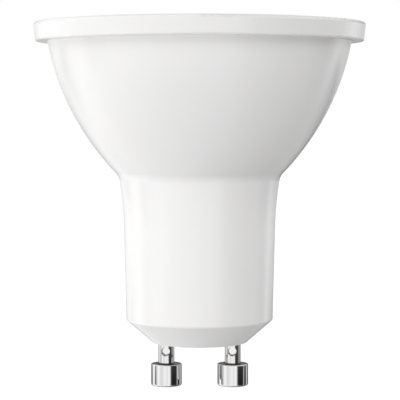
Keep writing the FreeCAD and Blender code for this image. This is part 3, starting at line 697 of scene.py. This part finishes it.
@dataclass
class Housing(Assembly):
    """The white one-piece body with its rim, bowl, neck and base."""

    finishes: dict[str, Surface] = field(default_factory=lambda: {"housing": Surface.HOUSING})


@dataclass
class ContactPins(Assembly):
    """The two footed pins of the twist-lock base."""

    finishes: dict[str, Surface] = field(default_factory=lambda: {
        "pin_left": Surface.PIN,
        "pin_right": Surface.PIN,
    })


@dataclass
class FrontLens(Assembly):
    """The clear lens with its collimators.

    Attributes:
        plate: How thick the lens's plate is, in millimetres.
        rest_gap: The film of air under it, in millimetres.
        smooth: Edges that turn less than this, in degrees, are smoothed over.
    """

    finishes: dict[str, Surface] = field(default_factory=lambda: {"lens": Surface.LENS})
    plate: float = 1.4
    rest_gap: float = 0.05
    smooth: float = 30.0

    def build(self) -> None:
        """Dress the node, then put in its place a lens with a film of air under its plate."""
        super().build()
        lens = seat(self.front_lens(), Surface.LENS)
        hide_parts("lens")

    def front_lens(self) -> bpy.types.Object:
        """Copy the lens with its plate's underside a hair higher, so that its seat shows.

        Returns:
            The lens.
        """
        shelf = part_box("lens")[1][2] - self.plate * MM
        lens = Shaper.copy(node_object("lens"), "front_lens")
        bpy.ops.mesh.customdata_custom_splitnormals_clear()
        bpy.ops.object.mode_set(mode="EDIT")
        bpy.ops.mesh.select_all(action="SELECT")
        bpy.ops.mesh.remove_doubles(threshold=COARSE_WELD)
        Shaper.pick_edges(lens, lambda a, b: max(abs(a.z - shelf), abs(b.z - shelf)) < LEVEL)
        bpy.ops.transform.translate(value=(0.0, 0.0, self.rest_gap * MM))
        Shaper.settle(lens, self.smooth)
        return lens


@dataclass
class LightEngine(Assembly):
    """The diodes on their board, screwed to the heat-spreading dish; sizes in millimetres.

    Attributes:
        diodes: How many diodes stand round the axis.
        window_depth: How deep a diode's round window is.
        gel_radius: The gel's radius.
        gel_sides: How many sides its round has.
        gel_wall: How far the gel rises straight.
        gel_crown: How far in and up each ring of its crown goes.
        gel_smooth: Edges that turn less than this, in degrees, are smoothed over.
        fillet_width: How wide the solder at a diode's end is.
        fillet_reach: How far it reaches out over the board.
        fillet_height: How high it stands.
        fillet_hollow: How far its hollow face is cut back.
        fillet_steps: How many faces the hollow has.
        fillet_bulge: The hollow's profile; under a half is hollow.
    """

    finishes: dict[str, Surface] = field(default_factory=lambda: {
        "heat_spreader": Surface.DISH,
        "light_board": Surface.LIGHT_BOARD,
        **{f"led_{i}": Surface.DIODE for i in range(1, 7)},
        **{f"board_screw_{i}": Surface.SCREW for i in range(1, 4)},
        "output_header": Surface.HEADER,
        "board_socket": Surface.SOCKET,
        "output_pins": Surface.WIRE,
    })
    diodes: int = 6
    window_depth: float = 0.1
    gel_radius: float = 1.19
    gel_sides: int = 48
    gel_wall: float = 0.07
    gel_crown: Steps = ((0.08, 0.03), (0.2, 0.02), (0.3, 0.012), (0.35, 0.004))
    gel_smooth: float = 50.0
    fillet_width: float = 2.0
    fillet_reach: float = 0.36
    fillet_height: float = 0.3
    fillet_hollow: float = 0.26
    fillet_steps: int = 6
    fillet_bulge: float = 0.2

    def build(self) -> None:
        """Dress the nodes, then add the gel and the solder of every diode."""
        super().build()
        for first, slot, surface in (
                (self.phosphor_gel(), "diode_package", Surface.PHOSPHOR),
                (self.diode_solder(), "tinned_wire", Surface.SOLDER)):
            stem = first.name[:-1]
            copies = [Shaper.copy_round(first, f"{stem}{i + 1}", 360 / self.diodes * i)
                      for i in range(1, self.diodes)]
            for piece in (first, *copies):
                seat(piece, surface)

    def phosphor_gel(self) -> bpy.types.Object:
        """Pour the first diode's gel: a low crown that fills its round window.

        Returns:
            The gel.
        """
        spot = middle("led_1")
        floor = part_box("led_1")[1][2] - self.window_depth * MM
        Shaper.clear()
        bpy.ops.mesh.primitive_circle_add(vertices=self.gel_sides, radius=self.gel_radius * MM,
                                          fill_type="NGON", location=(spot.x, spot.y, floor))
        gel = Shaper.named("phosphor_gel_1")
        bpy.ops.object.mode_set(mode="EDIT")
        Shaper.crown((0.0, 0.0, self.gel_wall * MM), self.gel_crown)
        Shaper.settle(gel, self.gel_smooth)
        return gel

    def diode_solder(self) -> bpy.types.Object:
        """Model the two hollow fillets that join the first diode's ends to the board.

        Returns:
            Both fillets, as one piece.
        """
        low, high = (Vector(corner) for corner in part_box("led_1"))
        spot = (low + high) / 2
        outer = high.y + self.fillet_reach * MM
        top = low.z + self.fillet_height * MM
        Shaper.clear()
        bpy.ops.mesh.primitive_cube_add(
            size=MM, scale=(self.fillet_width, self.fillet_reach, self.fillet_height),
            location=(spot.x, high.y + self.fillet_reach / 2 * MM,
                      low.z + self.fillet_height / 2 * MM))
        solder = Shaper.named("diode_solder_1")
        bpy.ops.object.transform_apply(location=True, rotation=True, scale=True)
        bpy.ops.object.mode_set(mode="EDIT")
        Shaper.pick_edges(solder, lambda a, b: (min(a.y, b.y) > outer - COARSE_WELD
                                                and min(a.z, b.z) > top - COARSE_WELD))
        bpy.ops.mesh.bevel(offset=self.fillet_hollow * MM, segments=self.fillet_steps,
                           profile=self.fillet_bulge, affect="EDGES")
        bpy.ops.mesh.select_all(action="SELECT")
        bpy.ops.mesh.duplicate()
        bpy.ops.transform.rotate(value=math.pi, orient_axis="Z", center_override=tuple(spot))
        Shaper.settle(solder)
        return solder


@dataclass
class Driver(Assembly):
    """The upright board in the neck with the parts that feed the diodes; sizes in millimetres.

    Attributes:
        wire: The choke wire's diameter.
        wire_sides: How many sides its round has.
        turns: How many turns the outer layer has.
        pitch: How far apart they are.
        turn_steps: How many straight bits a turn has.
        layers_radius: The outer radius of the layers under it.
        layers_sides: How many sides their round has.
        waist_radius: Their inner radius, round the core's waist.
        wound_smooth: Edges that turn less than this, in degrees, are smoothed over.
        joint_radius: The radius of a solder joint on the board.
        joint_sides: How many sides its round has.
        joint_skin: How far it rises straight.
        joint_cone: How far in and up each ring of its cone goes, and of the clipped lead.
        joints: Each joint's place across the board, and its height.
    """

    finishes: dict[str, Surface] = field(default_factory=lambda: {
        "driver_board": Surface.DRIVER_BOARD,
        "smoothing_capacitor": Surface.SLEEVE,
        "capacitor_leads": Surface.WIRE,
        "choke_core": Surface.FERRITE,
        "choke_winding": Surface.WINDING,
        "film_capacitor": Surface.FILM_CASE,
        "bridge_rectifier": Surface.EPOXY,
        "driver_chip": Surface.EPOXY,
        "flyback_diode": Surface.EPOXY,
        **{f"chip_resistor_{i}": Surface.CHIP for i in range(1, 4)},
        "fuse_resistor": Surface.CEMENT,
        "mains_lead": Surface.WIRE,
    })
    wire: float = 0.36
    wire_sides: int = 8
    turns: int = 13
    pitch: float = 0.37
    turn_steps: int = 32
    layers_radius: float = 3.36
    layers_sides: int = 48
    waist_radius: float = 1.81
    wound_smooth: float = 50.0
    joint_radius: float = 0.4
    joint_sides: int = 20
    joint_skin: float = 0.03
    joint_cone: Steps = ((0.05, 0.05), (0.05, 0.1), (0.04, 0.16), (0.02, 0.3), (0.1, 0.05))
    joints: Steps = ((-1.75, 28.35), (1.75, 28.35), (-5.0, 21.4), (5.0, 14.75))

    def build(self) -> None:
        """Dress the nodes, wind the choke and solder the leads to the board."""
        super().build()
        winding = seat(self.choke_turns(), Surface.WINDING)
        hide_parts("choke_winding")
        for number, (x, z) in enumerate(self.joints, start=1):
            seat(self.solder_joint(f"solder_joint_{number}", x, z), Surface.SOLDER)

    def choke_turns(self) -> bpy.types.Object:
        """Wind the choke: an outer layer of turns, over the layers under it.

        Returns:
            The winding.
        """
        low, high = (Vector(corner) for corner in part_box("choke_winding"))
        spot = (low + high) / 2
        wound = self.outer_layer(spot, (high.x - low.x) / 2)
        self.inner_layers(spot, high.y - low.y)
        wound.select_set(True)
        bpy.context.view_layer.objects.active = wound
        bpy.ops.object.join()
        Shaper.settle(wound, self.wound_smooth)
        return wound

    def outer_layer(self, spot: Vector, radius: float) -> bpy.types.Object:
        """Wind the turns that show.

        Args:
            spot: The winding's middle.
            radius: Its outer radius, in metres.

        Returns:
            The turns, with both ends of the wire closed.
        """
        run = self.turns * self.pitch * MM
        Shaper.clear()
        bpy.ops.mesh.primitive_circle_add(vertices=self.wire_sides, radius=self.wire / 2 * MM,
                                          location=(spot.x, spot.y - run / 2, spot.z))
        wound = Shaper.named("choke_turns")
        bpy.ops.object.mode_set(mode="EDIT")
        bpy.ops.transform.translate(value=(radius - self.wire / 2 * MM, 0.0, 0.0))
        bpy.ops.object.mode_set(mode="OBJECT")
        helix = wound.modifiers.new("helix", "SCREW")
        helix.axis = "Y"
        helix.angle = 2 * math.pi
        helix.screw_offset = self.pitch * MM
        helix.iterations = self.turns
        helix.steps = helix.render_steps = self.turn_steps
        bpy.ops.object.modifier_apply(modifier=helix.name)
        bpy.ops.object.mode_set(mode="EDIT")
        bpy.ops.mesh.select_all(action="SELECT")
        bpy.ops.mesh.fill_holes(sides=self.wire_sides)
        bpy.ops.object.mode_set(mode="OBJECT")
        return wound

    def inner_layers(self, spot: Vector, length: float) -> None:
        """Add the layers under the turns, as one thick tube that is left selected.

        Args:
            spot: The winding's middle.
            length: Its length, in metres.
        """
        Shaper.clear()
        bpy.ops.mesh.primitive_cylinder_add(
            vertices=self.layers_sides, radius=self.layers_radius * MM, depth=length,
            end_fill_type="NOTHING", location=spot, rotation=(math.pi / 2, 0.0, 0.0))
        layers = Shaper.named("choke_layers")
        wall = layers.modifiers.new("wall", "SOLIDIFY")
        wall.thickness = (self.layers_radius - self.waist_radius) * MM
        wall.offset = -1.0
        bpy.ops.object.modifier_apply(modifier=wall.name)

    def solder_joint(self, name: str, x: float, z: float) -> bpy.types.Object:
        """Model the solder round a clipped lead on the far side of the driver board.

        Args:
            name: The joint's name.
            x: Its place across the board, in millimetres.
            z: Its height, in millimetres.

        Returns:
            The joint.
        """
        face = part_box("driver_board")[1][1]
        Shaper.clear()
        bpy.ops.mesh.primitive_circle_add(
            vertices=self.joint_sides, radius=self.joint_radius * MM, fill_type="NGON",
            location=(x * MM, face, z * MM), rotation=(-math.pi / 2, 0.0, 0.0))
        joint = Shaper.named(name)
        bpy.ops.object.transform_apply(location=True, rotation=True, scale=True)
        bpy.ops.object.mode_set(mode="EDIT")
        Shaper.crown((0.0, self.joint_skin * MM, 0.0), self.joint_cone)
        Shaper.settle(joint)
        return joint


# Stage


@dataclass(frozen=True)
class Band:
    """One stop of the studio's ring of panels, seen from the bulb.

    Attributes:
        bearing: Degrees round from the camera, positive to its right.
        light: How bright the panel is there.
    """

    bearing: float
    light: float


@dataclass(frozen=True)
class Ring:
    """The studio's panels at one height.

    Attributes:
        height: Degrees above the horizon.
        bands: The panels' brightness by bearing, from one side of straight behind to the other.
    """

    height: float
    bands: tuple[Band, ...]

    @classmethod
    def of(cls, height: float, **levels: float) -> "Ring":
        """Make a ring from named levels.

        Args:
            height: Degrees above the horizon.
            **levels: The light at l180 to l10 on the left, front, and r10 to r180.

        Returns:
            The ring.
        """
        def bearing(name: str) -> float:
            """Return the bearing that a level's name stands for."""
            return 0.0 if name == "front" else float(name[1:]) * (-1 if name[0] == "l" else 1)

        return cls(height, tuple(Band(bearing(name), light) for name, light in levels.items()))


@dataclass
class Studio:
    """A white room: soft panels in front and on the left, a dark flag to the right of the camera.

    The pins' upright walls mirror the ring at -9 degrees, the neck, which leans back a little,
    the one at -6, and the bowl those below. The rim's rounding and the feet's tops mirror those
    above the horizon, where a dark gap at 9 degrees draws the line round each foot and crimp.

    Attributes:
        floor_size: The floor's side, in metres.
        floor_glow: The floor's own light, which makes it white to the eye.
        floor_shade: How much light the floor throws back, where the bulb's shadow shows.
        top_light: The brightest that a panel can be.
        rings: The panels, from the lowest ring to the highest.
    """

    floor_size: float = 12.0
    floor_glow: float = 0.84
    floor_shade: float = 0.25
    top_light: float = 2.0
    rings: tuple[Ring, ...] = (
        Ring.of(-70, l180=0.31, l90=0.88, front=0.67, r90=0.19, r180=0.31),
        Ring.of(-42, l180=0.10, l120=1.28, l90=1.09, l60=0.73, front=0.68, r30=0.78, r60=0.09,
                r90=0.10, r120=0.21, r150=0.32, r180=0.10),
        Ring.of(-24, l180=0.43, l165=1.00, l150=1.20, l135=1.26, l118=1.70, l90=1.16, l40=1.42,
                l10=1.27, r20=1.40, r45=0.49, r70=0.25, r90=0.24, r110=0.20, r125=0.33,
                r135=0.58, r150=0.62, r180=0.43),
        Ring.of(-9, l180=0.01, l160=0.42, l145=0.88, l129=0.10, l125=0.73, l102=1.73, l97=0.35,
                l89=0.01, l82=0.61, l62=1.33, l38=0.93, l12=1.22, r8=1.07, r20=1.27, r28=1.10,
                r38=0.04, r46=0.01, r72=0.01, r82=0.03, r91=0.60, r100=0.01, r112=0.01,
                r122=0.51, r130=1.26, r138=0.25, r145=0.15, r155=0.12, r180=0.01),
        Ring.of(-6, l180=0.25, l160=0.75, l145=1.08, l130=1.28, l115=1.48, l100=1.52, l80=1.12,
                l62=1.36, l38=1.05, l12=1.26, r8=1.13, r20=1.28, r28=1.08, r38=0.25, r46=0.20,
                r72=0.16, r84=0.30, r100=0.52, r112=0.58, r122=1.00, r130=1.50, r138=1.00,
                r150=0.70, r180=0.25),
        Ring.of(2, l180=0.90, l160=0.75, l145=0.90, l130=1.50, l115=1.55, l100=1.60, l60=1.48,
                l30=1.36, front=1.36, r20=1.31, r40=0.80, r60=0.48, r90=0.58, r110=1.20,
                r120=1.70, r128=1.85, r138=1.46, r150=0.71, r180=0.90),
        Ring.of(9, l180=0.40, l160=0.40, l130=0.35, l100=0.29, l60=0.06, l40=0.05, front=0.10,
                r30=0.03, r60=0.05, r90=0.12, r120=0.21, r150=0.40, r180=0.40),
        Ring.of(18, l180=0.66, l130=1.31, l100=1.57, l50=1.50, front=1.09, r60=1.41, r100=1.31,
                r140=0.76, r180=0.66),
        Ring.of(32, l180=0.81, l90=1.92, front=1.57, r90=1.52, r180=0.81),
        Ring.of(65, l180=0.25, r180=0.25),
    )

    def build(self) -> None:
        """Make the room and its floor."""
        self.build_world()
        self.build_floor()
        LOG.info("studio: %d rings of panels", len(self.rings))

    def ring_light(self, tree: bpy.types.NodeTree, turn: bpy.types.NodeSocket,
                   ring: Ring) -> bpy.types.NodeSocket:
        """Make one ring of panels.

        Args:
            tree: The world's node tree.
            turn: The bearing, from 0 at one side of straight behind to 1 at the other.
            ring: The ring.

        Returns:
            The ring's light, as a share of the room's top light.
        """
        ahead, full_turn = 0.5, 360
        panels = add_node(tree, "ShaderNodeValToRGB", links={"Fac": turn})
        stops = panels.color_ramp.elements
        while len(stops) < len(ring.bands):
            stops.new(ahead)
        for stop, band in zip(stops, ring.bands):
            stop.position = ahead + band.bearing / full_turn
            stop.color = grey(band.light / self.top_light)
        return panels.outputs["Color"]

    def room_light(self, tree: bpy.types.NodeTree) -> bpy.types.NodeSocket:
        """Blend the rings by the height of the direction that is looked in.

        Args:
            tree: The world's node tree.

        Returns:
            The room's light.
        """
        place = add_node(tree, "ShaderNodeTexCoord").outputs["Generated"]
        parts = add_node(tree, "ShaderNodeSeparateXYZ", links={"Vector": place}).outputs
        front = add_node(tree, "ShaderNodeMath", {1: -1.0}, {0: parts["Y"]}, operation="MULTIPLY")
        bearing = add_node(tree, "ShaderNodeMath",
                           links={0: parts["X"], 1: front.outputs["Value"]}, operation="ARCTAN2")
        turn = add_node(tree, "ShaderNodeMapRange", {"From Min": -math.pi, "From Max": math.pi},
                        {"Value": bearing.outputs["Value"]}).outputs["Result"]
        height = add_node(tree, "ShaderNodeMath", links={0: parts["Z"]}, operation="ARCSINE")
        light = self.ring_light(tree, turn, self.rings[0])
        for lower, upper in zip(self.rings, self.rings[1:]):
            climb = add_node(tree, "ShaderNodeMapRange",
                             {"From Min": math.radians(lower.height),
                              "From Max": math.radians(upper.height)},
                             {"Value": height.outputs["Value"]})
            light = add_node(tree, "ShaderNodeMix",
                             links={0: climb.outputs["Result"], 2: light,
                                    3: self.ring_light(tree, turn, upper)}).outputs[0]
        return add_node(tree, "ShaderNodeMath", {1: self.top_light}, {0: light},
                        operation="MULTIPLY").outputs["Value"]

    def build_world(self) -> None:
        """Make the light of the room, and a white background for what the camera sees."""
        world = bpy.data.worlds.new("studio")
        world.use_nodes = True
        bpy.context.scene.world = world
        tree = world.node_tree
        tree.nodes.clear()
        path = add_node(tree, "ShaderNodeLightPath")
        seen = add_node(tree, "ShaderNodeMath", links={0: path.outputs["Is Camera Ray"],
                                                       1: path.outputs["Is Transmission Ray"]},
                        operation="MAXIMUM")
        lit = add_node(tree, "ShaderNodeBackground", {"Color": grey(1.0)},
                       {"Strength": self.room_light(tree)})
        white = add_node(tree, "ShaderNodeBackground", {"Color": grey(1.0), "Strength": 1.0})
        mix = add_node(tree, "ShaderNodeMixShader", links={0: seen.outputs["Value"],
                                                           1: lit.outputs["Background"],
                                                           2: white.outputs["Background"]})
        add_node(tree, "ShaderNodeOutputWorld", links={"Surface": mix.outputs["Shader"]})

    def build_floor(self) -> None:
        """Lay the floor: pale, white to the eye, and it keeps the bulb's shadow."""
        Shaper.clear()
        bpy.ops.mesh.primitive_plane_add(size=self.floor_size)
        floor = Shaper.named("studio_floor")
        finish = bpy.data.materials.new("pale_floor")
        finish.use_nodes = True
        tree = finish.node_tree
        tree.nodes.clear()
        glow = add_node(tree, "ShaderNodeEmission",
                        {"Color": grey(1.0), "Strength": self.floor_glow})
        shade = add_node(tree, "ShaderNodeBsdfDiffuse", {"Color": grey(self.floor_shade)})
        both = add_node(tree, "ShaderNodeAddShader", links={0: shade.outputs["BSDF"],
                                                            1: glow.outputs["Emission"]})
        add_node(tree, "ShaderNodeOutputMaterial", links={"Surface": both.outputs["Shader"]})
        floor.data.materials.append(finish)
        # The rings under the horizon already hold the light that the floor throws back
        floor.visible_diffuse = False
        floor.visible_glossy = False
        floor.visible_shadow = False


@dataclass
class Viewpoint:
    """The photograph's camera.

    Attributes:
        distance: How far in front of the bulb's axis it is, in millimetres.
        height: How far above the feet it is, in millimetres.
        pitch: How far it looks down, in degrees.
        lens: Its focal length, in millimetres.
        sensor: How wide its sensor is, in millimetres.
        shift: How far the picture is shifted: 0.45 of the photograph's 400 pixels.
    """

    distance: float = 254.63
    height: float = 40.82
    pitch: float = 2.892
    lens: float = 152.85
    sensor: float = 36.0
    shift: float = 0.45 / 400

    def build(self) -> None:
        """Set the camera up and make it the scene's."""
        data = bpy.data.cameras.new("camera")
        data.lens = self.lens
        data.sensor_width = self.sensor
        data.shift_x = self.shift
        camera = bpy.data.objects.new("camera", data)
        camera.location = (0.0, -self.distance * MM, self.height * MM)
        camera.rotation_euler = (math.radians(90 - self.pitch), 0.0, 0.0)
        bpy.context.scene.collection.objects.link(camera)
        bpy.context.scene.camera = camera
        LOG.info("camera: %.2f mm lens at %.1f mm", self.lens, self.distance)


def main() -> None:
    """Dress the bulb and set the stage."""
    logging.basicConfig(level=logging.INFO, format="%(message)s")
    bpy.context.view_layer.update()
    bpy.context.scene.view_settings.view_transform = "Standard"
    for assembly in (Housing(), ContactPins(), FrontLens(), LightEngine(), Driver()):
        assembly.build()
    Studio().build()
    Viewpoint().build()


if __name__ == "__main__":
    main()
